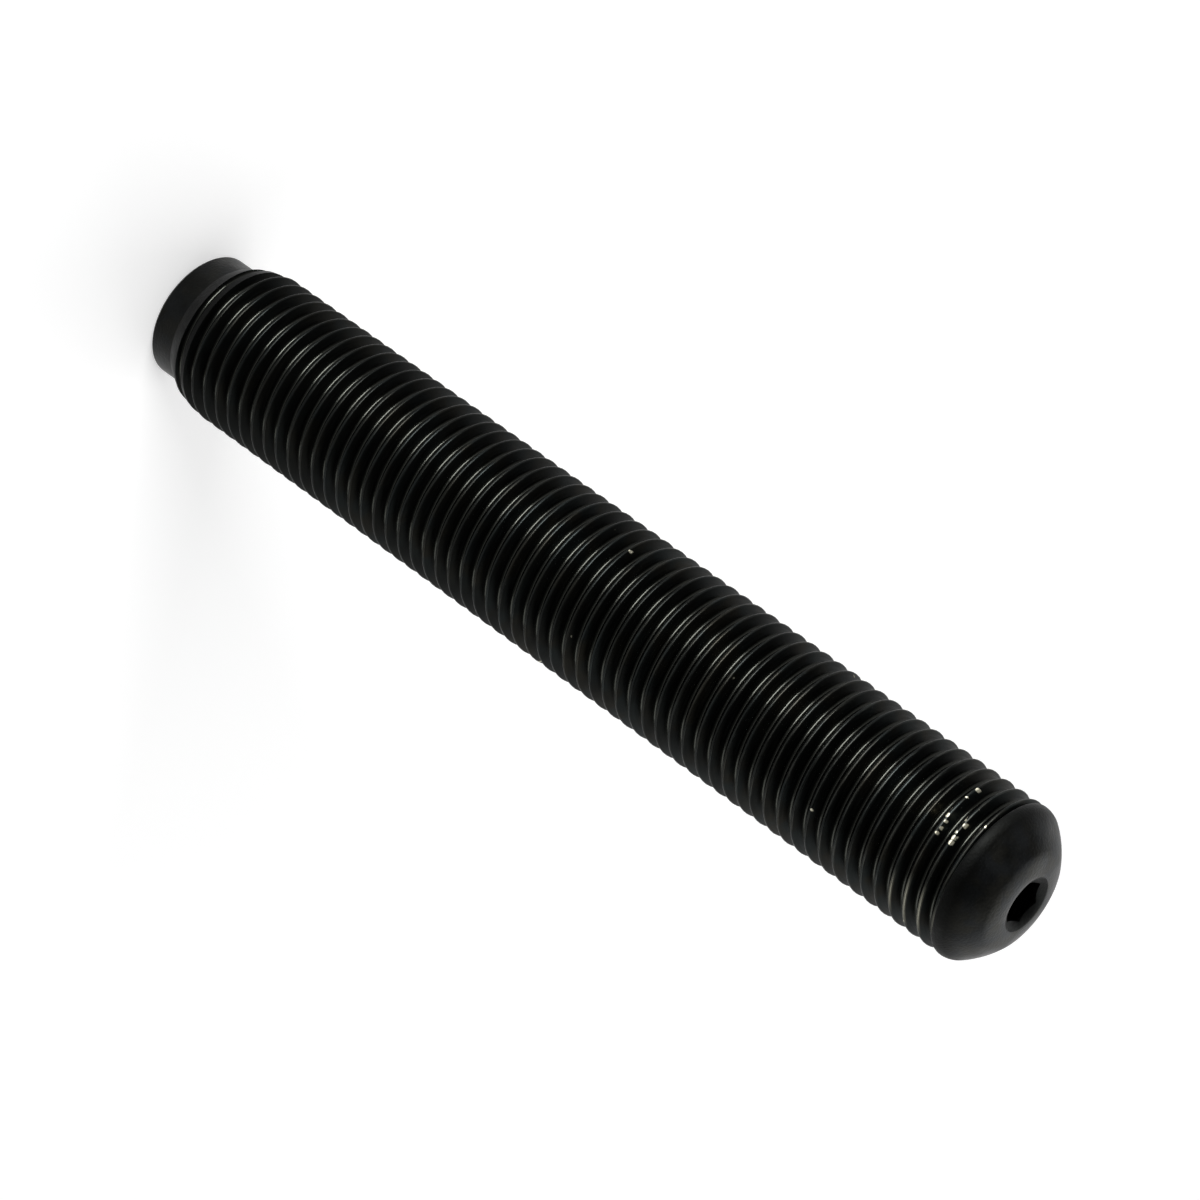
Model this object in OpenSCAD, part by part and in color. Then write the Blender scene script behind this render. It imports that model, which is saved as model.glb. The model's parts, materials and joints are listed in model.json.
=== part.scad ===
// Fully threaded stud, turned and threaded from one bar: a short plain pilot at
// one end, a dome with a flat end face and a hexagonal drive socket at the other.
// It stands on the pilot's flat face. The axis is Z, and the origin is the centre
// of that face.

/* [Stud] */
// Length from the pilot's flat face to the end face round the socket
stud_length = 80; // [40:1:120]
// Height of the dome, from the circle of the crests to the end face
dome_height = 2.5; // [1:0.1:4]
// Width of the plain land at the foot of the dome, where the thread ends
dome_land = 0.5; // [0.1:0.1:2]
// Width of the flat end face round the mouth of the socket
end_face_width = 1.05; // [0.2:0.05:2]

/* [Thread] */
// Outside diameter of the thread, over the crests
thread_d = 12; // [11:0.1:14]
// Distance along the axis from one crest to the next
thread_pitch = 1.25; // [1:0.25:1.75]
// Angle round the axis at which a crest crosses the level of the flat face
thread_start = 144; // [0:18:342]
// Length over which the first crest grows to its full height
run_in_length = 1.8; // [0.5:0.1:4]
// Facets in one turn of the thread
thread_facets = 20; // [16:4:24]

/* [Pilot] */
// Diameter of the plain pilot
pilot_d = 9.8; // [7:0.1:10]
// Length of the pilot, from its flat face to the lead-in cone
pilot_length = 2.2; // [1:0.1:6]
// Chamfer on the edge of the flat face
pilot_chamfer = 0.25; // [0.1:0.05:0.8]
// Angle between the lead-in cone and the axis
lead_in_angle = 30; // [15:1:45]

/* [Socket] */
// Width of the hexagonal socket across its flats
socket_flats = 3; // [2:0.5:5]
// Angle round the axis of one of the socket's corners
socket_angle = 45; // [0:5:55]
// Depth of the socket's flats below the end face
socket_depth = 5; // [3:0.5:8]
// Width of the countersink outside the socket's corners
socket_countersink = 0.4; // [0.1:0.05:0.8]
// Included angle of the countersink
countersink_angle = 120; // [90:1:140]
// Width of the ledge round the drill point, at the middle of a flat
drill_ledge = 0.15; // [0.05:0.05:0.5]
// Included angle of the drill point at the socket's bottom
drill_angle = 120; // [90:1:140]

/* [Hidden] */
$fn = 96;
// How far a shape runs past the face that cuts it or that it is joined at
overlap = 0.1;

// Metric thread form: a sharp 60 degree triangle that loses an eighth of its
// height at the crest and a quarter at the root
sharp_height = thread_pitch * cos(30);
crest_r = thread_d / 2;
pitch_r = crest_r - sharp_height * 3 / 8;
root_r = crest_r - sharp_height * 5 / 8;

// One pitch of that form, as points of height along the axis and radius
thread_form = [
    [-thread_pitch * 5 / 8, root_r],
    [-thread_pitch * 3 / 8, root_r],
    [-thread_pitch / 16, crest_r],
    [thread_pitch / 16, crest_r]
];

// The lead-in cone ends at the pitch radius, where the first crest starts to grow
pilot_r = pilot_d / 2;
cone_end_z = pilot_length + (pitch_r - pilot_r) / tan(lead_in_angle);

// The blank's wall lies just outside the crests, and the run-in reaches it
wall_r = crest_r + overlap;
wall_start_z = cone_end_z + run_in_length * (wall_r - pitch_r) / (crest_r - pitch_r);

// The end face is a flat ring between the mouth of the countersink and the dome
corner_r = socket_flats / 2 / cos(30);
rim_r = corner_r + socket_countersink;
end_face_r = rim_r + end_face_width;

// The dome is a zone of a ball, from the circle of the crests to the end face's edge
dome_sink = (crest_r * crest_r - end_face_r * end_face_r + dome_height * dome_height) / (2 * dome_height);
dome_centre_z = stud_length - dome_sink;
dome_r = sqrt(end_face_r * end_face_r + dome_sink * dome_sink);
land_z = stud_length - dome_height - dome_land;

// Plain pilot, let into the foot of the lead-in cone
module pilot() {
    top_z = pilot_length + overlap;
    rotate_extrude()
        polygon([
            [0, 0],
            [pilot_r - pilot_chamfer, 0],
            [pilot_r, pilot_chamfer],
            [pilot_r, top_z],
            [0, top_z]
        ]);
}

// Shank before it is threaded: lead-in cone, run-in, straight wall, dome and end face
module shank_blank() {
    rotate_extrude()
        intersection() {
            polygon([
                [0, pilot_length],
                [pilot_r, pilot_length],
                [pitch_r, cone_end_z],
                [wall_r, wall_start_z],
                [wall_r, stud_length],
                [0, stud_length]
            ]);
            union() {
                translate([0, dome_centre_z])
                    circle(r = dome_r);
                square([2 * dome_r, dome_centre_z]);
            }
        }
}

// Right-hand helix of the thread form, wound as one strip a pitch wide whose last
// edge is the next turn's first. It runs two turns past both ends of the stud, and
// each end is closed by a cone to a point on the axis.
module thread() {
    spare_turns = 2;
    turns = ceil(stud_length / thread_pitch) + 2 * spare_turns;
    steps = turns * thread_facets;
    start_z = -spare_turns * thread_pitch;
    rows = len(thread_form);

    strip = [
        for (i = [0 : steps], point = thread_form)
            let (
                angle = thread_start + 360 * i / thread_facets,
                rise = thread_pitch * i / thread_facets
            )
            [point[1] * cos(angle), point[1] * sin(angle), start_z + rise + point[0]]
    ];
    foot = len(strip);
    tip = foot + 1;
    foot_point = [0, 0, start_z - 2 * thread_pitch];
    tip_point = [0, 0, start_z + (turns + 2) * thread_pitch];

    // Place in the list of one point of the form at one step of the helix
    function at(step, row) = row < rows ? step * rows + row : (step + thread_facets) * rows;

    skin = [
        for (i = [0 : steps - 1], row = [0 : rows - 1])
            if (row < rows - 1 || i < steps - thread_facets)
                each [
                    [at(i, row), at(i, row + 1), at(i + 1, row + 1)],
                    [at(i, row), at(i + 1, row + 1), at(i + 1, row)]
                ]
    ];
    foot_cone = concat(
        [for (i = [0 : thread_facets - 1]) [foot, at(i, 0), at(i + 1, 0)]],
        [for (row = [0 : rows - 1]) [foot, at(0, row + 1), at(0, row)]]
    );
    last_turn = steps - thread_facets;
    tip_cone = concat(
        [for (i = [last_turn : steps - 1]) [tip, at(i + 1, rows - 1), at(i, rows - 1)]],
        [[tip, at(last_turn, rows - 1), at(steps, 0)]],
        [for (row = [0 : rows - 2]) [tip, at(steps, row), at(steps, row + 1)]]
    );
    polyhedron(
        points = concat(strip, [foot_point, tip_point]),
        faces = concat(skin, foot_cone, tip_cone)
    );
}

// Solid foot of the dome. The thread's groove ends against its underside, which
// slopes as the thread's own flank does.
module dome_foot() {
    top_z = stud_length + overlap;
    rotate_extrude()
        polygon([
            [0, land_z - crest_r * tan(30)],
            [crest_r, land_z],
            [crest_r, top_z],
            [0, top_z]
        ]);
}

// Hexagonal socket with a drill point and a countersunk mouth
module socket() {
    floor_z = stud_length - socket_depth;
    mouth_depth = rim_r / tan(countersink_angle / 2);
    drill_r = socket_flats / 2 - drill_ledge;
    drill_depth = drill_r / tan(drill_angle / 2);
    translate([0, 0, floor_z])
        rotate(socket_angle)
            cylinder(r = corner_r, h = socket_depth + overlap, $fn = 6);
    translate([0, 0, floor_z - drill_depth])
        cylinder(r1 = 0, r2 = drill_r, h = drill_depth);
    translate([0, 0, stud_length - mouth_depth])
        cylinder(r1 = 0, r2 = 2 * rim_r, h = 2 * mouth_depth);
}

module stud() {
    color("#1c1d1e")
        difference() {
            union() {
                pilot();
                intersection() {
                    union() {
                        thread();
                        dome_foot();
                    }
                    shank_blank();
                }
            }
            socket();
        }
}

stud();
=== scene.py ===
"""Blackened threaded stud with a domed socket end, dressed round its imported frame."""

import json
import math

import bmesh
import bpy
from bpy.props import FloatProperty, FloatVectorProperty, IntProperty, PointerProperty
from mathutils import Matrix, Vector


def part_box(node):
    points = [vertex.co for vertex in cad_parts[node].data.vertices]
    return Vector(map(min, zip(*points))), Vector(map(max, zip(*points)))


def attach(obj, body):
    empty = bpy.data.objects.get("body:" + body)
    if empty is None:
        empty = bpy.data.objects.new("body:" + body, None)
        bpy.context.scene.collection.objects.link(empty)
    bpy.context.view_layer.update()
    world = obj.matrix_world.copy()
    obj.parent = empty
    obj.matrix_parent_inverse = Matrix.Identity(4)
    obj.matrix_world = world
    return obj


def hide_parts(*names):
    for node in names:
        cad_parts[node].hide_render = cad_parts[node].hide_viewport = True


bl_info = {
    "name": "Blackened Threaded Stud",
    "version": (1, 0, 0),
    "blender": (4, 5, 0),
    "location": "3D View > Sidebar > Stud",
    "description": "Models a fine-threaded black oxide stud and the plain stage it stands on",
    "category": "Object",
}

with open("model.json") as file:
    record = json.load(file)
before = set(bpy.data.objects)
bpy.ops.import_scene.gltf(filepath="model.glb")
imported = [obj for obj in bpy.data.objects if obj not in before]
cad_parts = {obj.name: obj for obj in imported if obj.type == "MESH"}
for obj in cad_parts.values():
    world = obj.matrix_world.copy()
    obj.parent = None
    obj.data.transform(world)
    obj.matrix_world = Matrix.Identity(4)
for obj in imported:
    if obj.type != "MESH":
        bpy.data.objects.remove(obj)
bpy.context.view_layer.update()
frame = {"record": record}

MM = 0.001
STUD_LOW, STUD_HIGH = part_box("stud")
MOUNTS = {mount["name"]: mount for mount in frame["record"]["mounts"]}
PILOT_DIMS = MOUNTS["pilot"]["dims"]
SOCKET_DIMS = MOUNTS["drive_socket"]["dims"]

FLANK_ANGLE = math.radians(30)
DRILL_HALF_ANGLE = math.radians(60)
HEXAGON_HALF_SIDE = math.radians(30)
SMOOTH_ANGLE = math.radians(32)

# Steps round the turned shapes. They differ, so that no two shapes share edges where they meet.
BLANK_STEPS = 146
DOME_STEPS = 150
DRILL_STEPS = 50
MOUTH_STEPS = 98

# Worn spots by the dome: angle round the axis in degrees, then in millimetres the
# height, and how far from the spot the wear starts to fade and ends
NICKED_SPOTS = ((251, 75.3, 1.2, 2.3), (92, 75.6, 1.0, 2.2))
RUBBED_SPOTS = ((320, 74.8, 1.2, 2.8), (150, 75.2, 1.0, 2.4))


def length_property(name, description, default):
    """A length that the sidebar shows in scene units."""
    return FloatProperty(
        name=name, description=description, default=default, min=0.0, unit="LENGTH", precision=5
    )


def colour_property(name, description, default):
    """A linear colour."""
    return FloatVectorProperty(
        name=name, description=description, default=default, min=0.0, max=1.0, subtype="COLOR", size=3
    )


def share_property(name, description, default):
    """A value from nothing to full."""
    return FloatProperty(
        name=name, description=description, default=default, min=0.0, max=1.0, subtype="FACTOR"
    )


def power_property(name, description, default):
    """A lamp's power in watts."""
    return FloatProperty(name=name, description=description, default=default, min=0.0, unit="POWER")


class StudSizes(bpy.types.PropertyGroup):
    """Sizes of the stud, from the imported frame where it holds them."""

    stud_length: length_property(
        "Length", "From the pilot's flat face to the end face", STUD_HIGH.z - STUD_LOW.z
    )
    thread_radius: length_property(
        "Thread radius", "Radius over the crests", (STUD_HIGH.x - STUD_LOW.x) / 2
    )
    thread_pitch: length_property("Pitch", "From one crest to the next along the axis", 1.25 * MM)
    thread_start: FloatProperty(
        name="Thread start",
        description="Angle round the axis at which a crest crosses the level of the flat face",
        default=math.radians(117),
        subtype="ANGLE",
    )
    thread_steps: IntProperty(
        name="Steps in a turn", description="Faces round one turn of the thread", default=60, min=12
    )
    crest_round: length_property("Crest rounding", "Rounding at each corner of a crest", 0.08 * MM)
    root_round: length_property("Root rounding", "Rounding at each corner of a root", 0.115 * MM)
    run_in_length: length_property("Run-in", "Length over which the first crest grows", 1.8 * MM)
    lead_in_angle: FloatProperty(
        name="Lead-in angle",
        description="Angle between the lead-in cone and the axis",
        default=math.radians(30),
        subtype="ANGLE",
    )
    pilot_radius: length_property("Pilot radius", "Radius of the plain pilot", PILOT_DIMS["r_mm"] * MM)
    pilot_wall: length_property(
        "Pilot wall", "Length of the pilot's straight wall", PILOT_DIMS["length_mm"] * MM
    )
    pilot_chamfer: length_property("Pilot chamfer", "Chamfer on the edge of the flat face", 0.25 * MM)
    dome_height: length_property("Dome height", "From the circle of the crests to the end face", 2.5 * MM)
    dome_land: length_property("Dome land", "Plain land at the foot of the dome", 0.5 * MM)
    end_face_width: length_property("End face", "Width of the flat ring round the socket", 1.05 * MM)
    socket_flats: length_property("Socket width", "Width of the socket across its flats", 3 * MM)
    socket_angle: FloatProperty(
        name="Socket angle",
        description="Angle round the axis of one of the socket's corners",
        default=math.radians(45),
        subtype="ANGLE",
    )
    socket_depth: length_property(
        "Socket depth", "Depth of the socket's flats", SOCKET_DIMS["length_mm"] * MM
    )
    socket_countersink: length_property(
        "Countersink", "Width of the countersink outside the socket's corners", 0.4 * MM
    )
    countersink_angle: FloatProperty(
        name="Countersink angle",
        description="Included angle of the countersink",
        default=math.radians(120),
        subtype="ANGLE",
    )
    socket_corner: length_property("Socket corners", "Rounding of the corners of the hexagon", 0.08 * MM)
    drill_ledge: length_property("Drill ledge", "Ledge round the drilled hole", 0.15 * MM)
    edge_round: length_property("Edge rounding", "Rounding of the turned edges", 0.06 * MM)
    face_round: length_property("End face rounding", "Rounding where the end face meets the dome", 0.85 * MM)
    foot_round: length_property("Dome foot rounding", "Rounding where the dome meets its land", 0.38 * MM)


class StudFinish(bpy.types.PropertyGroup):
    """Colours and roughness of the blackened steel."""

    oxide_colour: colour_property("Oxide", "Black oxide on the thread", (0.0125, 0.0150, 0.0148))
    olive_colour: colour_property("Olive oxide", "Black oxide with a brownish tint", (0.0148, 0.0142, 0.0115))
    # Darker oxide: oil in the random patches of oxide on the thread, dome and socket, and also painted shade
    # towards the thread's pilot end and in the socket.
    oil_and_shade_colour: colour_property("Oily oxide", "Darker oxide where oil stays", (0.0075, 0.0082, 0.0078))
    worn_colour: colour_property("Worn oxide", "Oxide rubbed thin on the crests", (0.052, 0.053, 0.047))
    root_colour: colour_property("Burnished oxide", "Oxide in the rolled roots", (0.0175, 0.0183, 0.0160))
    bare_colour: colour_property("Bare steel", "Steel laid bare in the nicks", (0.55, 0.53, 0.42))
    turned_colour: colour_property("Turned oxide", "Oxide on the dome and pilot", (0.0255, 0.0250, 0.0215))
    cool_colour: colour_property("Cool oxide", "Bluish black oxide on the dome", (0.0225, 0.0245, 0.0262))
    # Painted shade: the darkest oxide, for the socket's walls and countersink, the dome's foot and the
    # lead-in cone.
    shaded_oxide_colour: colour_property("Socket oxide", "Black oxide in the socket", (0.0042, 0.0044, 0.0042))
    edge_tint: share_property("Edge tint", "Share of glancing light that the thread's oxide returns", 0.7)
    thread_roughness: share_property("Thread roughness", "Roughness of the rolled thread", 0.34)
    turned_roughness: share_property("Turned roughness", "Roughness of the dome and pilot", 0.42)


class StageSettings(bpy.types.PropertyGroup):
    """Camera, floor and lamps."""

    camera_distance: length_property("Camera distance", "Level distance from camera to axis", 0.3042)
    camera_height: length_property("Camera height", "Height of the camera above the floor", 0.2048)
    aim_height: length_property("Aim height", "Height on the axis that the camera looks at", 0.04092)
    camera_roll: FloatProperty(
        name="Camera roll",
        description="Turn of the camera about its own line of sight",
        default=math.radians(125.53),
        subtype="ANGLE",
    )
    camera_lens: FloatProperty(
        name="Lens", description="Focal length on a 36 mm sensor", default=149.48, unit="CAMERA"
    )
    floor_size: length_property("Floor size", "Side of the square floor", 6.0)
    floor_colour: colour_property("Floor", "Colour of the floor", (0.82, 0.82, 0.82))
    floor_glow: share_property("Floor glow", "Whiteness added where the floor is seen or mirrored", 0.35)
    backdrop_light: share_property("Backdrop", "Brightness of the low backdrop behind the stud", 1.0)
    room_light: share_property("Room", "Brightness of the room before the stud and overhead", 0.18)
    key_power: power_property("Key lamp", "Power of the low lamp beside the camera", 5.6)
    side_power: power_property("Side lamp", "Power of the low lamp on the other side", 0.7)
    back_power: power_property("Back lamp", "Power of the large soft lamp above and behind the stud", 3.0)
    fill_power: power_property("Fill lamp", "Power of the weak high lamp on the other side", 1.1)


def clear_selection():
    """Leaves edit mode and deselects every object."""
    if bpy.context.mode != "OBJECT":
        bpy.ops.object.mode_set(mode="OBJECT")
    bpy.ops.object.select_all(action="DESELECT")


def make_active(piece):
    """Selects one object and makes it the active one."""
    clear_selection()
    piece.select_set(True)
    bpy.context.view_layer.objects.active = piece


def apply_modifier(piece, modifier):
    """Applies one modifier to a piece."""
    make_active(piece)
    bpy.ops.object.modifier_apply(modifier=modifier.name)


def draw_outline(name, points):
    """Draws a line of edges through points of radius and height, as a new object."""
    places = [Vector((radius, 0.0, height)) for radius, height in points]
    clear_selection()
    bpy.ops.mesh.primitive_plane_add(size=MM)
    outline = bpy.context.object
    outline.name = name
    bpy.ops.object.mode_set(mode="EDIT")
    bpy.ops.mesh.select_mode(type="VERT")
    bpy.ops.mesh.select_all(action="SELECT")
    bpy.ops.mesh.merge(type="CENTER")
    bpy.ops.transform.translate(value=places[0])
    for start, end in zip(places, places[1:]):
        bpy.ops.mesh.extrude_vertices_move(TRANSFORM_OT_translate={"value": end - start})
    bpy.ops.object.mode_set(mode="OBJECT")
    return outline


def select_points(piece, is_wanted):
    """In edit mode, selects the points whose place is wanted."""
    mesh = bmesh.from_edit_mesh(piece.data)
    mesh.select_mode = {"VERT"}
    for point in mesh.verts:
        point.select = is_wanted(point.co)
    mesh.select_flush_mode()
    bmesh.update_edit_mesh(piece.data)


def round_corners(outline, is_corner, offset, segments):
    """Rounds the wanted corners of an outline."""
    make_active(outline)
    bpy.ops.object.mode_set(mode="EDIT")
    bpy.ops.mesh.select_mode(type="VERT")
    select_points(outline, is_corner)
    bpy.ops.mesh.bevel(offset=offset, segments=segments, affect="VERTICES", clamp_overlap=True)
    bpy.ops.object.mode_set(mode="OBJECT")


def wind_outline(outline, steps, pitch=0.0, turns=1):
    """Turns an outline round the axis, rising by a pitch in each turn."""
    screw = outline.modifiers.new("Turn", "SCREW")
    screw.axis = "Z"
    screw.angle = 2 * math.pi
    screw.screw_offset = pitch
    screw.iterations = turns
    screw.steps = steps
    screw.render_steps = steps
    screw.use_merge_vertices = True
    screw.merge_threshold = 0.001 * MM
    apply_modifier(outline, screw)


def select_edges(piece, is_wanted):
    """In edit mode, selects only the wanted edges."""
    bpy.ops.mesh.select_mode(type="EDGE")
    mesh = bmesh.from_edit_mesh(piece.data)
    for face in mesh.faces:
        face.select = False
    for edge in mesh.edges:
        edge.select = is_wanted(edge)
    bmesh.update_edit_mesh(piece.data)


def close_open_end(piece, is_end, reach):
    """Closes one open end of a tube with a cone to a point on its axis."""

    def is_rim(edge):
        return edge.is_boundary and all(is_end(point.co) for point in edge.verts)

    make_active(piece)
    bpy.ops.object.mode_set(mode="EDIT")
    select_edges(piece, is_rim)
    bpy.ops.mesh.extrude_edges_move(TRANSFORM_OT_translate={"value": (0.0, 0.0, reach)})
    bpy.ops.mesh.merge(type="CENTER")
    bpy.ops.object.mode_set(mode="OBJECT")


def face_outwards(piece):
    """Merges doubled points and turns every face outwards."""
    make_active(piece)
    bpy.ops.object.mode_set(mode="EDIT")
    bpy.ops.mesh.select_all(action="SELECT")
    bpy.ops.mesh.remove_doubles(threshold=0.0005 * MM)
    bpy.ops.mesh.normals_make_consistent(inside=False)
    bpy.ops.object.mode_set(mode="OBJECT")


def combine(piece, tool, operation):
    """Joins, intersects or cuts a piece with a tool, and removes the tool."""
    boolean = piece.modifiers.new(operation.title(), "BOOLEAN")
    boolean.operation = operation
    boolean.solver = "EXACT"
    boolean.material_mode = "TRANSFER"
    boolean.object = tool
    apply_modifier(piece, boolean)
    bpy.data.objects.remove(tool)


class ThreadForm:
    """Radii and heights that the thread, the blank and the socket share."""

    def __init__(self, sizes):
        sharp_height = sizes.thread_pitch * math.cos(FLANK_ANGLE)
        self.crest_radius = sizes.thread_radius
        self.pitch_radius = self.crest_radius - sharp_height * 3 / 8
        self.half_crest = sizes.thread_pitch / 14
        self.half_root = sizes.thread_pitch / 10
        flank_rise = sizes.thread_pitch / 2 - self.half_crest - self.half_root
        self.root_radius = self.crest_radius - flank_rise / math.tan(FLANK_ANGLE)
        self.wall_radius = self.crest_radius + 0.1 * MM
        self.cone_start = sizes.pilot_chamfer + sizes.pilot_wall
        cone_rise = (self.pitch_radius - sizes.pilot_radius) / math.tan(sizes.lead_in_angle)
        self.cone_end = self.cone_start + cone_rise
        growth = (self.wall_radius - self.pitch_radius) / (self.crest_radius - self.pitch_radius)
        self.wall_start = self.cone_end + sizes.run_in_length * growth
        self.corner_radius = sizes.socket_flats / 2 / math.cos(HEXAGON_HALF_SIDE)
        self.rim_radius = self.corner_radius + sizes.socket_countersink
        self.face_radius = self.rim_radius + sizes.end_face_width
        height = sizes.dome_height
        self.land_radius = self.crest_radius - 0.005 * MM
        dome_sink = (self.land_radius**2 - self.face_radius**2 + height**2) / (2 * height)
        self.dome_centre = sizes.stud_length - dome_sink
        self.dome_radius = math.hypot(self.face_radius, dome_sink)
        self.dome_foot = sizes.stud_length - height
        self.land_foot = self.dome_foot - sizes.dome_land


def make_thread(sizes, form):
    """Winds the rounded thread form up the axis, past both ends of the stud."""
    pitch = sizes.thread_pitch
    spare_turns = 2
    start = -pitch * (spare_turns + sizes.thread_start / (2 * math.pi))
    thread = draw_outline(
        "threaded_stud",
        [
            (form.root_radius, start - pitch / 2),
            (form.root_radius, start - pitch / 2 + form.half_root),
            (form.crest_radius, start - form.half_crest),
            (form.crest_radius, start + form.half_crest),
            (form.root_radius, start + pitch / 2 - form.half_root),
            (form.root_radius, start + pitch / 2),
        ],
    )
    close = 0.001 * MM
    crest_corner = form.crest_radius - close
    root_corner = form.root_radius + close
    end_gap = pitch / 2 - form.half_root / 2

    def is_crest_corner(place):
        return place.x > crest_corner

    def is_root_corner(place):
        return place.x < root_corner and abs(place.z - start) < end_gap

    round_corners(thread, is_crest_corner, sizes.crest_round, segments=5)
    round_corners(thread, is_root_corner, sizes.root_round, segments=3)
    turns = math.ceil(sizes.stud_length / pitch) + 2 * spare_turns
    wind_outline(thread, sizes.thread_steps, pitch, turns)
    face_outwards(thread)
    close_open_end(thread, lambda place: place.z < sizes.stud_length / 2, -2 * pitch)
    close_open_end(thread, lambda place: place.z > sizes.stud_length / 2, 2 * pitch)
    face_outwards(thread)
    return thread


def make_blank(sizes, form):
    """Turns the shank's outline before threading: pilot, lead-in and wall, up to inside the dome."""
    land_gap = 0.02 * MM
    top = form.land_foot + 0.2 * MM
    blank = draw_outline(
        "turned_blank",
        [
            (0.0, 0.0),
            (sizes.pilot_radius - sizes.pilot_chamfer, 0.0),
            (sizes.pilot_radius, sizes.pilot_chamfer),
            (sizes.pilot_radius, form.cone_start),
            (form.pitch_radius, form.cone_end),
            (form.wall_radius, form.wall_start),
            (form.wall_radius, form.land_foot - land_gap),
            (form.root_radius, top),
            (0.0, top),
        ],
    )

    def is_turned_edge(place):
        return MM < place.x < form.pitch_radius - 0.1 * MM and place.z < form.cone_end

    round_corners(blank, is_turned_edge, sizes.edge_round, segments=3)
    wind_outline(blank, BLANK_STEPS)
    face_outwards(blank)
    return blank


def make_dome(sizes, form):
    """Turns the dome with its land and end face. The thread's groove ends against its underside.

    The ball stops short of its two edges, and the roundings fill most of the room left there.
    """
    ball_steps = 20
    fill = 0.95
    foot_angle = math.acos(form.land_radius / form.dome_radius) + sizes.foot_round / form.dome_radius
    face_angle = math.acos(form.face_radius / form.dome_radius) - sizes.face_round / form.dome_radius
    ball = []
    for step in range(ball_steps + 1):
        angle = foot_angle + (face_angle - foot_angle) * step / ball_steps
        ball.append(
            (form.dome_radius * math.cos(angle), form.dome_centre + form.dome_radius * math.sin(angle))
        )
    underside = form.land_radius * math.tan(FLANK_ANGLE)
    foot = [
        (0.0, form.land_foot - underside),
        (form.land_radius, form.land_foot),
        (form.land_radius, form.dome_foot),
    ]
    face = [(form.face_radius, sizes.stud_length), (0.0, sizes.stud_length)]
    dome = draw_outline("turned_dome", foot + ball + face)
    close = 0.01 * MM

    def is_dome_foot(place):
        return abs(place.z - form.dome_foot) < close

    def is_land_edge(place):
        return place.x > MM and abs(place.z - form.land_foot) < close

    def is_face_edge(place):
        return place.z > sizes.stud_length - close and place.x > MM

    round_corners(dome, is_dome_foot, sizes.foot_round * fill, segments=6)
    round_corners(dome, is_land_edge, sizes.edge_round, segments=3)
    round_corners(dome, is_face_edge, sizes.face_round * fill, segments=9)
    wind_outline(dome, DOME_STEPS)
    face_outwards(dome)
    return dome


def make_socket_tools(sizes, form):
    """Makes the solids that cut the socket: broached hexagon, drilled hole and countersink."""
    floor = sizes.stud_length - sizes.socket_depth
    height = sizes.socket_depth + MM

    def is_corner_edge(edge):
        low, high = edge.verts
        return abs(low.co.z - high.co.z) > height / 2

    clear_selection()
    bpy.ops.mesh.primitive_cylinder_add(
        vertices=6,
        radius=form.corner_radius,
        depth=height,
        location=(0.0, 0.0, floor + height / 2),
        rotation=(0.0, 0.0, sizes.socket_angle - HEXAGON_HALF_SIDE),
    )
    hexagon = bpy.context.object
    bpy.ops.object.transform_apply(location=True, rotation=True, scale=True)
    bpy.ops.object.mode_set(mode="EDIT")
    select_edges(hexagon, is_corner_edge)
    bpy.ops.mesh.bevel(offset=sizes.socket_corner, segments=3, affect="EDGES")
    bpy.ops.object.mode_set(mode="OBJECT")

    drill_radius = sizes.socket_flats / 2 - sizes.drill_ledge
    drill_depth = drill_radius / math.tan(DRILL_HALF_ANGLE)
    drill_top = floor + sizes.socket_depth / 2
    drill = draw_outline(
        "drilled_hole",
        [
            (0.0, floor - drill_depth),
            (drill_radius, floor),
            (drill_radius, drill_top),
            (0.0, drill_top),
        ],
    )
    wind_outline(drill, DRILL_STEPS)
    face_outwards(drill)

    mouth_depth = form.rim_radius / math.tan(sizes.countersink_angle / 2)
    countersink = draw_outline(
        "countersink",
        [
            (0.0, sizes.stud_length - mouth_depth),
            (form.rim_radius * 2, sizes.stud_length + mouth_depth),
            (0.0, sizes.stud_length + mouth_depth),
        ],
    )
    wind_outline(countersink, MOUTH_STEPS)
    face_outwards(countersink)
    return hexagon, drill, countersink


def add_node(tree, kind, inputs=None, **settings):
    """Adds a node, with values or links for its inputs."""
    node = tree.nodes.new(kind)
    for name, value in settings.items():
        setattr(node, name, value)
    for socket, value in (inputs or {}).items():
        if isinstance(value, bpy.types.NodeSocket):
            tree.links.new(value, node.inputs[socket])
        else:
            node.inputs[socket].default_value = value
    return node


def calculate(tree, operation, *values):
    """A maths node on values or sockets."""
    node = add_node(tree, "ShaderNodeMath", dict(enumerate(values)), operation=operation)
    return node.outputs["Value"]


def ramp_value(tree, value, start, end, low=0.0, high=1.0):
    """A value eased from low to high as another goes from start to end."""
    node = add_node(
        tree,
        "ShaderNodeMapRange",
        {"Value": value, "From Min": start, "From Max": end, "To Min": low, "To Max": high},
        interpolation_type="SMOOTHSTEP",
    )
    return node.outputs["Result"]


def blend_colours(tree, share, first, second):
    """A colour between two, by a share."""
    node = add_node(tree, "ShaderNodeMix", {"Factor": share}, data_type="RGBA")
    for socket, colour in ((node.inputs[6], first), (node.inputs[7], second)):
        if isinstance(colour, bpy.types.NodeSocket):
            tree.links.new(colour, socket)
        else:
            socket.default_value = (*colour, 1.0)
    return node.outputs[2]


def noise(tree, vector, scale, detail=2.0, roughness=0.5):
    """A noise texture's value."""
    node = add_node(
        tree,
        "ShaderNodeTexNoise",
        {"Vector": vector, "Scale": scale, "Detail": detail, "Roughness": roughness},
    )
    return node.outputs["Fac"]


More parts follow.
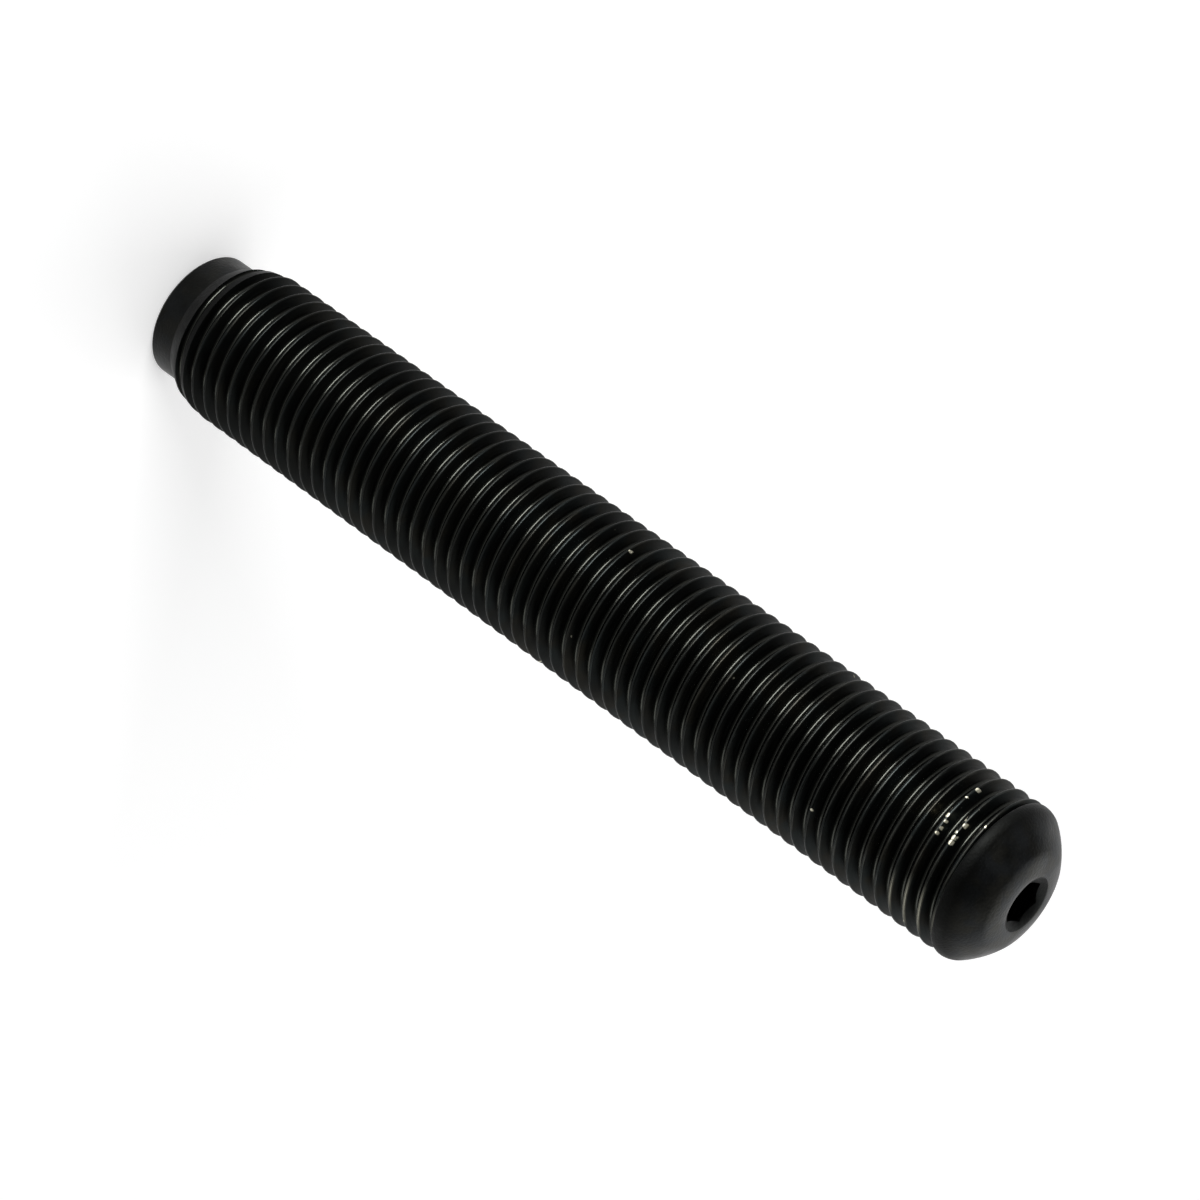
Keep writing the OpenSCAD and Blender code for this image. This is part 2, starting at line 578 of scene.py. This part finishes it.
def new_group(name, inputs, outputs):
    """An empty node group with value and vector sockets."""
    group = bpy.data.node_groups.new(name, "ShaderNodeTree")
    for socket, kind in inputs:
        group.interface.new_socket(socket, in_out="INPUT", socket_type=kind)
    for socket, kind in outputs:
        group.interface.new_socket(socket, in_out="OUTPUT", socket_type=kind)
    entry = group.nodes.new("NodeGroupInput")
    result = group.nodes.new("NodeGroupOutput")
    return group, entry, result


def place_group(tree, group, inputs):
    """A node group placed in a material."""
    return add_node(tree, "ShaderNodeGroup", inputs, node_tree=group)


def make_round_place_group(pitch):
    """Where a point is on the round stud, in millimetres: radius, height, along and across the thread."""
    group, entry, result = new_group(
        "place_on_stud",
        [("Vector", "NodeSocketVector")],
        [(name, "NodeSocketFloat") for name in ("Radius", "Height", "Along", "Across")],
    )
    millimetres = add_node(
        group, "ShaderNodeVectorMath", {0: entry.outputs["Vector"], "Scale": 1 / MM}, operation="SCALE"
    )
    split = add_node(group, "ShaderNodeSeparateXYZ", {"Vector": millimetres.outputs["Vector"]})
    x, y, z = (split.outputs[axis] for axis in "XYZ")
    squares = calculate(group, "ADD", calculate(group, "MULTIPLY", x, x), calculate(group, "MULTIPLY", y, y))
    radius = calculate(group, "SQRT", squares)
    angle = calculate(group, "ARCTAN2", x, calculate(group, "MULTIPLY", y, -1.0))
    climb = calculate(group, "MULTIPLY", angle, pitch / MM / (2 * math.pi))
    group.links.new(radius, result.inputs["Radius"])
    group.links.new(z, result.inputs["Height"])
    group.links.new(calculate(group, "MULTIPLY", angle, radius), result.inputs["Along"])
    group.links.new(calculate(group, "SUBTRACT", z, climb), result.inputs["Across"])
    return group


def make_mottle_group():
    """Uneven black oxide: soft clouds, slow changes of tint and fine grain, each from nothing to full."""
    group, entry, result = new_group(
        "oxide_mottle",
        [
            ("Vector", "NodeSocketVector"),
            ("Cloud Scale", "NodeSocketFloat"),
            ("Grain Scale", "NodeSocketFloat"),
        ],
        [(name, "NodeSocketFloat") for name in ("Cloud", "Tint", "Grain")],
    )
    vector = entry.outputs["Vector"]
    cloud = noise(group, vector, entry.outputs["Cloud Scale"], 3.0)
    tint_scale = calculate(group, "MULTIPLY", entry.outputs["Cloud Scale"], 1.7)
    tint = noise(group, vector, tint_scale, 1.0)
    grain = noise(group, vector, entry.outputs["Grain Scale"], 2.0)
    group.links.new(ramp_value(group, cloud, 0.32, 0.68), result.inputs["Cloud"])
    group.links.new(ramp_value(group, tint, 0.38, 0.62), result.inputs["Tint"])
    group.links.new(ramp_value(group, grain, 0.30, 0.70), result.inputs["Grain"])
    return group


def make_nick_group():
    """Nicks down to bare steel: round specks on the surface, more of them where the share is higher."""
    group, entry, result = new_group(
        "bare_nicks",
        [(name, "NodeSocketFloat") for name in ("Along", "Height", "Share", "Size")],
        [("Nicks", "NodeSocketFloat")],
    )
    surface = add_node(
        group, "ShaderNodeCombineXYZ", {"X": entry.outputs["Along"], "Y": entry.outputs["Height"]}
    )
    cells = add_node(
        group,
        "ShaderNodeTexVoronoi",
        {"Vector": surface.outputs["Vector"], "Scale": 2.1},
        voronoi_dimensions="2D",
    )
    lot = add_node(group, "ShaderNodeSeparateColor", {"Color": cells.outputs["Color"]})
    chosen = calculate(group, "LESS_THAN", lot.outputs["Red"], entry.outputs["Share"])
    spread = calculate(group, "MULTIPLY_ADD", lot.outputs["Green"], 0.5, 0.5)
    reach = calculate(group, "MULTIPLY", spread, entry.outputs["Size"])
    inside = calculate(group, "SUBTRACT", reach, cells.outputs["Distance"])
    nick = calculate(group, "MULTIPLY", chosen, ramp_value(group, inside, 0.0, 0.14))
    group.links.new(nick, result.inputs["Nicks"])
    return group


def make_spots_group(name, spots):
    """Worn spots by the dome, each fading from full to nothing."""
    group, entry, result = new_group(name, [("Vector", "NodeSocketVector")], [("Worn", "NodeSocketFloat")])
    worn = 0.0
    for angle, height, inner, outer in spots:
        turn = math.radians(angle)
        spot = (6 * MM * math.cos(turn), 6 * MM * math.sin(turn), height * MM)
        away = add_node(
            group, "ShaderNodeVectorMath", {0: entry.outputs["Vector"], 1: spot}, operation="DISTANCE"
        ).outputs["Value"]
        worn = calculate(group, "MAXIMUM", worn, ramp_value(group, away, inner * MM, outer * MM, 1.0, 0.0))
    group.links.new(worn, result.inputs["Worn"])
    return group


def new_steel(name, tint):
    """A metal material, with its object coordinates."""
    material = bpy.data.materials.new(name)
    material.use_nodes = True
    tree = material.node_tree
    tree.nodes.clear()
    output = tree.nodes.new("ShaderNodeOutputMaterial")
    shader = add_node(
        tree, "ShaderNodeBsdfPrincipled", {"Metallic": 1.0, "Specular Tint": (tint, tint, tint, 1.0)}
    )
    tree.links.new(shader.outputs["BSDF"], output.inputs["Surface"])
    place = add_node(tree, "ShaderNodeTexCoord")
    return material, tree, shader, place.outputs["Object"]


def dress_surface(tree, shader, colour, roughness, height, depth):
    """Gives a shader its colour, roughness and fine relief of a given depth."""
    bump = add_node(tree, "ShaderNodeBump", {"Height": height, "Strength": 1.0, "Distance": depth})
    tree.links.new(colour, shader.inputs["Base Color"])
    tree.links.new(roughness, shader.inputs["Roughness"])
    tree.links.new(bump.outputs["Normal"], shader.inputs["Normal"])


def make_thread_steel(finish, form, groups):
    """Rolled thread: tinted oxide, drawn-out streaks, rubbed crests, bare nicks by the dome, and painted
    shade darkening it towards the pilot end.
    """
    material, tree, shader, vector = new_steel("rolled_thread", finish.edge_tint)
    place = place_group(tree, groups["place"], {"Vector": vector})
    mottle = {"Vector": vector, "Cloud Scale": 260.0, "Grain Scale": 7000.0}
    patches = place_group(tree, groups["mottle"], mottle)
    radius, height, along = (place.outputs[name] for name in ("Radius", "Height", "Along"))
    drawn_out = 0.45
    fine = 9.0
    streak_place = add_node(
        tree,
        "ShaderNodeCombineXYZ",
        {
            "X": calculate(tree, "MULTIPLY", along, drawn_out),
            "Y": calculate(tree, "MULTIPLY", place.outputs["Across"], fine),
            "Z": calculate(tree, "MULTIPLY", radius, fine),
        },
    ).outputs["Vector"]
    streaks = noise(tree, streak_place, 1.0, 3.0, 0.6)

    crest = form.crest_radius / MM
    on_crest = ramp_value(tree, radius, crest - 0.12, crest - 0.02)
    rubbed = calculate(tree, "MULTIPLY", on_crest, ramp_value(tree, streaks, 0.46, 0.66))
    near_dome = ramp_value(tree, height, 40.0, 76.0, 0.05, 0.45)
    wear = calculate(tree, "MULTIPLY", rubbed, near_dome)
    rub_spots = place_group(tree, groups["rubbed"], {"Vector": vector}).outputs["Worn"]
    bright_rub = calculate(tree, "MULTIPLY", calculate(tree, "MULTIPLY", on_crest, rub_spots), 0.16)
    nick_spots = place_group(tree, groups["nicked"], {"Vector": vector}).outputs["Worn"]
    stray = ramp_value(tree, height, 20.0, 70.0, 0.0, 0.005)
    share = calculate(tree, "MULTIPLY_ADD", nick_spots, 0.6, stray)
    nick_inputs = {"Along": along, "Height": height, "Share": share, "Size": 0.5}
    nick_group = place_group(tree, groups["nicks"], nick_inputs)
    high = ramp_value(tree, radius, crest - 0.30, crest - 0.18)
    nicks = calculate(tree, "MULTIPLY", nick_group.outputs["Nicks"], high)

    tinted = blend_colours(tree, patches.outputs["Tint"], finish.olive_colour, finish.oxide_colour)
    oxide = blend_colours(tree, patches.outputs["Cloud"], finish.oil_and_shade_colour, tinted)
    # Painted shade: the oxide is blended towards the darker oxide, half at the pilot end and none from 55 mm
    # up, so the thread darkens towards the pilot.
    painted_shade_share = ramp_value(tree, height, 4.0, 55.0, 0.5, 0.0)
    shade_painted = blend_colours(tree, painted_shade_share, oxide, finish.oil_and_shade_colour)
    worn = blend_colours(tree, wear, shade_painted, finish.worn_colour)
    root = form.root_radius / MM
    in_root = ramp_value(tree, radius, root + 0.04, root + 0.2, 1.0, 0.0)
    burnished = blend_colours(tree, in_root, worn, finish.root_colour)
    laid_bare = calculate(tree, "MAXIMUM", nicks, bright_rub)
    colour = blend_colours(tree, laid_bare, burnished, finish.bare_colour)
    base = finish.thread_roughness
    roughness = ramp_value(tree, streaks, 0.25, 0.75, base - 0.07, base + 0.10)
    smoother = calculate(tree, "MULTIPLY_ADD", in_root, -0.12, roughness)
    rough = calculate(tree, "MULTIPLY_ADD", nicks, 0.2, smoother)
    relief = calculate(tree, "MULTIPLY_ADD", patches.outputs["Grain"], 0.25, streaks)
    dress_surface(tree, shader, colour, rough, relief, depth=0.004 * MM)
    return material


def make_turned_steel(finish, form, groups):
    """Turned dome and pilot: satin oxide with rings left by the tool, nicks at the dome's foot, and painted
    shade on the dome's foot and the lead-in cone.
    """
    material, tree, shader, vector = new_steel("turned_faces", 1.0)
    place = place_group(tree, groups["place"], {"Vector": vector})
    mottle = {"Vector": vector, "Cloud Scale": 420.0, "Grain Scale": 5200.0}
    patches = place_group(tree, groups["mottle"], mottle)
    radius, height, along = (place.outputs[name] for name in ("Radius", "Height", "Along"))
    nick_spots = place_group(tree, groups["nicked"], {"Vector": vector}).outputs["Worn"]
    share = calculate(tree, "MULTIPLY", nick_spots, 0.5)
    nick_inputs = {"Along": along, "Height": height, "Share": share, "Size": 0.5}
    nick_group = place_group(tree, groups["nicks"], nick_inputs)
    edge = form.crest_radius / MM
    at_edge = ramp_value(tree, radius, edge - 0.5, edge - 0.25)
    nicks = calculate(tree, "MULTIPLY", nick_group.outputs["Nicks"], at_edge)
    ring_scale = 7.0
    round_scale = 0.12
    ring_place = add_node(
        tree,
        "ShaderNodeCombineXYZ",
        {
            "X": calculate(tree, "MULTIPLY", radius, ring_scale),
            "Y": calculate(tree, "MULTIPLY", height, ring_scale),
            "Z": calculate(tree, "MULTIPLY", along, round_scale),
        },
    ).outputs["Vector"]
    rings = noise(tree, ring_place, 1.0, 2.0)
    tinted = blend_colours(tree, patches.outputs["Tint"], finish.turned_colour, finish.cool_colour)
    shade = calculate(tree, "MULTIPLY_ADD", patches.outputs["Grain"], 0.45, patches.outputs["Cloud"])
    light = calculate(tree, "MULTIPLY_ADD", shade, 0.45, 0.25)
    oxide = blend_colours(tree, light, finish.oil_and_shade_colour, tinted)
    # Painted shade: the outer ring of the dome with its foot, and the lead-in cone by the pilot, are blended
    # towards the darkest oxide.
    foot_shade_mask = ramp_value(tree, radius, edge - 1.15, edge, 0.0, 0.97)
    lead_in_shade = ramp_value(tree, radius, edge - 1.1, edge - 0.75, 0.68, 0.92)
    near_pilot = ramp_value(tree, height, 5.0, 20.0, 1.0, 0.0)
    pilot_shade = calculate(tree, "MULTIPLY", lead_in_shade, near_pilot)
    painted_shade_share = calculate(tree, "MAXIMUM", foot_shade_mask, pilot_shade)
    shade_painted = blend_colours(tree, painted_shade_share, oxide, finish.shaded_oxide_colour)
    colour = blend_colours(tree, nicks, shade_painted, finish.bare_colour)
    base = finish.turned_roughness
    roughness = ramp_value(tree, patches.outputs["Cloud"], 0.0, 1.0, base - 0.05, base + 0.06)
    rough = calculate(tree, "MULTIPLY_ADD", foot_shade_mask, 0.14, roughness)
    relief = calculate(tree, "MULTIPLY_ADD", rings, 0.7, patches.outputs["Grain"])
    dress_surface(tree, shader, colour, rough, relief, depth=0.006 * MM)
    return material


def make_socket_steel(finish, groups):
    """Broached socket: oxide painted darker as shade in the recess, with marks drawn down the walls."""
    material, tree, shader, vector = new_steel("socket_walls", finish.edge_tint)
    place = place_group(tree, groups["place"], {"Vector": vector})
    mottle = {"Vector": vector, "Cloud Scale": 700.0, "Grain Scale": 6000.0}
    patches = place_group(tree, groups["mottle"], mottle)
    mark_scale = 6.0
    down_scale = 0.3
    mark_place = add_node(
        tree,
        "ShaderNodeCombineXYZ",
        {
            "X": calculate(tree, "MULTIPLY", place.outputs["Along"], mark_scale),
            "Y": calculate(tree, "MULTIPLY", place.outputs["Radius"], mark_scale),
            "Z": calculate(tree, "MULTIPLY", place.outputs["Height"], down_scale),
        },
    ).outputs["Vector"]
    marks = noise(tree, mark_place, 1.0, 2.0)
    # Painted shade: the socket's walls mottle between the darkest oxide and the darker oxide.
    colour = blend_colours(tree, patches.outputs["Cloud"], finish.shaded_oxide_colour, finish.oil_and_shade_colour)
    roughness = ramp_value(tree, marks, 0.3, 0.7, 0.36, 0.5)
    relief = calculate(tree, "MULTIPLY_ADD", patches.outputs["Grain"], 0.4, marks)
    dress_surface(tree, shader, colour, roughness, relief, depth=0.006 * MM)
    return material


class STUD_OT_model_stud(bpy.types.Operator):
    """Model the stud: rolled thread, turned pilot and dome, and hexagonal socket"""

    bl_idname = "stud.model_stud"
    bl_label = "Model Stud"

    def execute(self, context):
        sizes = context.scene.stud_sizes
        finish = context.scene.stud_finish
        form = ThreadForm(sizes)
        groups = {
            "place": make_round_place_group(sizes.thread_pitch),
            "mottle": make_mottle_group(),
            "nicks": make_nick_group(),
            "nicked": make_spots_group("nicked_spots", NICKED_SPOTS),
            "rubbed": make_spots_group("rubbed_spots", RUBBED_SPOTS),
        }
        thread_steel = make_thread_steel(finish, form, groups)
        turned_steel = make_turned_steel(finish, form, groups)
        socket_steel = make_socket_steel(finish, groups)

        stud = make_thread(sizes, form)
        stud.data.materials.append(thread_steel)
        blank = make_blank(sizes, form)
        blank.data.materials.append(turned_steel)
        combine(stud, blank, "INTERSECT")
        dome = make_dome(sizes, form)
        dome.data.materials.append(turned_steel)
        dome.data.materials.append(thread_steel)
        for face in dome.data.polygons:
            face.material_index = 1 if face.normal.z < -0.3 else 0
        combine(stud, dome, "UNION")
        hexagon, drill, countersink = make_socket_tools(sizes, form)
        for tool in (hexagon, drill, countersink):
            tool.data.materials.append(socket_steel)
            combine(stud, tool, "DIFFERENCE")
        face_outwards(stud)
        make_active(stud)
        bpy.ops.object.shade_smooth_by_angle(angle=SMOOTH_ANGLE)
        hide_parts("stud")
        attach(stud, "root")
        return {"FINISHED"}


def add_lamp(name, place, target, width, height, power):
    """A soft rectangular lamp that faces a point."""
    clear_selection()
    bpy.ops.object.light_add(type="AREA", location=place)
    lamp = bpy.context.object
    lamp.name = name
    lamp.rotation_euler = (Vector(target) - Vector(place)).to_track_quat("-Z", "Y").to_euler()
    lamp.data.shape = "RECTANGLE"
    lamp.data.size = width
    lamp.data.size_y = height
    lamp.data.energy = power
    lamp.visible_camera = False
    return lamp


def make_floor(stage):
    """A pale floor that stays white to the camera and keeps the stud's shadow."""
    clear_selection()
    bpy.ops.mesh.primitive_plane_add(size=stage.floor_size)
    floor = bpy.context.object
    floor.name = "floor"
    material = bpy.data.materials.new("pale_floor")
    material.use_nodes = True
    tree = material.node_tree
    tree.nodes.clear()
    output = tree.nodes.new("ShaderNodeOutputMaterial")
    paint = add_node(tree, "ShaderNodeBsdfDiffuse", {"Color": (*stage.floor_colour, 1.0)})
    path = tree.nodes.new("ShaderNodeLightPath")
    seen = path.outputs["Is Camera Ray"]
    for ray in ("Is Glossy Ray", "Is Transmission Ray"):
        seen = calculate(tree, "MAXIMUM", seen, path.outputs[ray])
    glow = add_node(tree, "ShaderNodeEmission", {"Color": seen, "Strength": stage.floor_glow})
    both = add_node(tree, "ShaderNodeAddShader", {0: paint.outputs["BSDF"], 1: glow.outputs["Emission"]})
    tree.links.new(both.outputs["Shader"], output.inputs["Surface"])
    floor.data.materials.append(material)
    return floor


def make_world(stage):
    """A studio with a low pale backdrop behind the stud, and a darker room before it and overhead."""
    world = bpy.data.worlds.new("studio")
    bpy.context.scene.world = world
    world.use_nodes = True
    tree = world.node_tree
    tree.nodes.clear()
    output = tree.nodes.new("ShaderNodeOutputWorld")
    direction = add_node(tree, "ShaderNodeTexCoord")
    split = add_node(tree, "ShaderNodeSeparateXYZ", {"Vector": direction.outputs["Generated"]})
    height = calculate(tree, "MULTIPLY_ADD", split.outputs["Y"], -0.5, split.outputs["Z"])
    pale = ramp_value(tree, height, 0.0, 0.4, stage.backdrop_light, stage.room_light)
    white = (1.0, 1.0, 1.0, 1.0)
    background = add_node(tree, "ShaderNodeBackground", {"Color": white, "Strength": pale})
    tree.links.new(background.outputs["Background"], output.inputs["Surface"])


def make_camera(stage):
    """The camera, rolled so that the stud lies across the frame as in the picture."""
    place = Vector((0.0, -stage.camera_distance, stage.camera_height))
    aim = Vector((0.0, 0.0, stage.aim_height))
    clear_selection()
    bpy.ops.object.camera_add(location=place)
    camera = bpy.context.object
    camera.data.sensor_width = 36.0
    camera.data.lens = stage.camera_lens
    camera.data.clip_start = 0.01
    camera.data.clip_end = 50.0
    level = (aim - place).to_track_quat("-Z", "Y").to_matrix()
    roll = Matrix.Rotation(stage.camera_roll, 3, "Z")
    camera.rotation_euler = (level @ roll).to_euler()
    bpy.context.scene.camera = camera


class STUD_OT_set_stage(bpy.types.Operator):
    """Set the stage: camera, pale floor, studio walls and soft lamps"""

    bl_idname = "stud.set_stage"
    bl_label = "Set Stage"

    def execute(self, context):
        stage = context.scene.stud_stage
        middle = (0.0, 0.0, stage.aim_height)
        make_camera(stage)
        make_floor(stage)
        make_world(stage)
        add_lamp("key", (-0.31, -0.41, 0.08), middle, width=0.34, height=0.12, power=stage.key_power)
        add_lamp("side", (0.50, -0.02, 0.13), middle, width=0.30, height=0.20, power=stage.side_power)
        add_lamp("back", (0.0, 0.66, 0.76), middle, width=0.80, height=0.60, power=stage.back_power)
        add_lamp("fill", (0.44, 0.34, 0.74), middle, width=0.65, height=0.65, power=stage.fill_power)
        context.scene.view_settings.view_transform = "Standard"
        return {"FINISHED"}


class STUD_PT_sidebar(bpy.types.Panel):
    """Sizes, finish and stage of the stud"""

    bl_idname = "STUD_PT_sidebar"
    bl_label = "Threaded Stud"
    bl_space_type = "VIEW_3D"
    bl_region_type = "UI"
    bl_category = "Stud"

    def draw(self, context):
        groups = (
            ("Sizes", context.scene.stud_sizes),
            ("Finish", context.scene.stud_finish),
            ("Stage", context.scene.stud_stage),
        )
        for title, group in groups:
            box = self.layout.box()
            box.label(text=title)
            for name in group.__annotations__:
                box.prop(group, name)
        self.layout.operator(STUD_OT_model_stud.bl_idname)
        self.layout.operator(STUD_OT_set_stage.bl_idname)


CLASSES = (
    StudSizes,
    StudFinish,
    StageSettings,
    STUD_OT_model_stud,
    STUD_OT_set_stage,
    STUD_PT_sidebar,
)


def register():
    """Registers the classes and hangs the settings on the scene."""
    for cls in CLASSES:
        bpy.utils.register_class(cls)
    bpy.types.Scene.stud_sizes = PointerProperty(type=StudSizes)
    bpy.types.Scene.stud_finish = PointerProperty(type=StudFinish)
    bpy.types.Scene.stud_stage = PointerProperty(type=StageSettings)


def unregister():
    """Takes the settings off the scene and unregisters the classes."""
    del bpy.types.Scene.stud_stage
    del bpy.types.Scene.stud_finish
    del bpy.types.Scene.stud_sizes
    for cls in reversed(CLASSES):
        bpy.utils.unregister_class(cls)


def main():
    """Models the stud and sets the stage."""
    register()
    bpy.ops.stud.model_stud()
    bpy.ops.stud.set_stage()


if __name__ == "__main__":
    main()
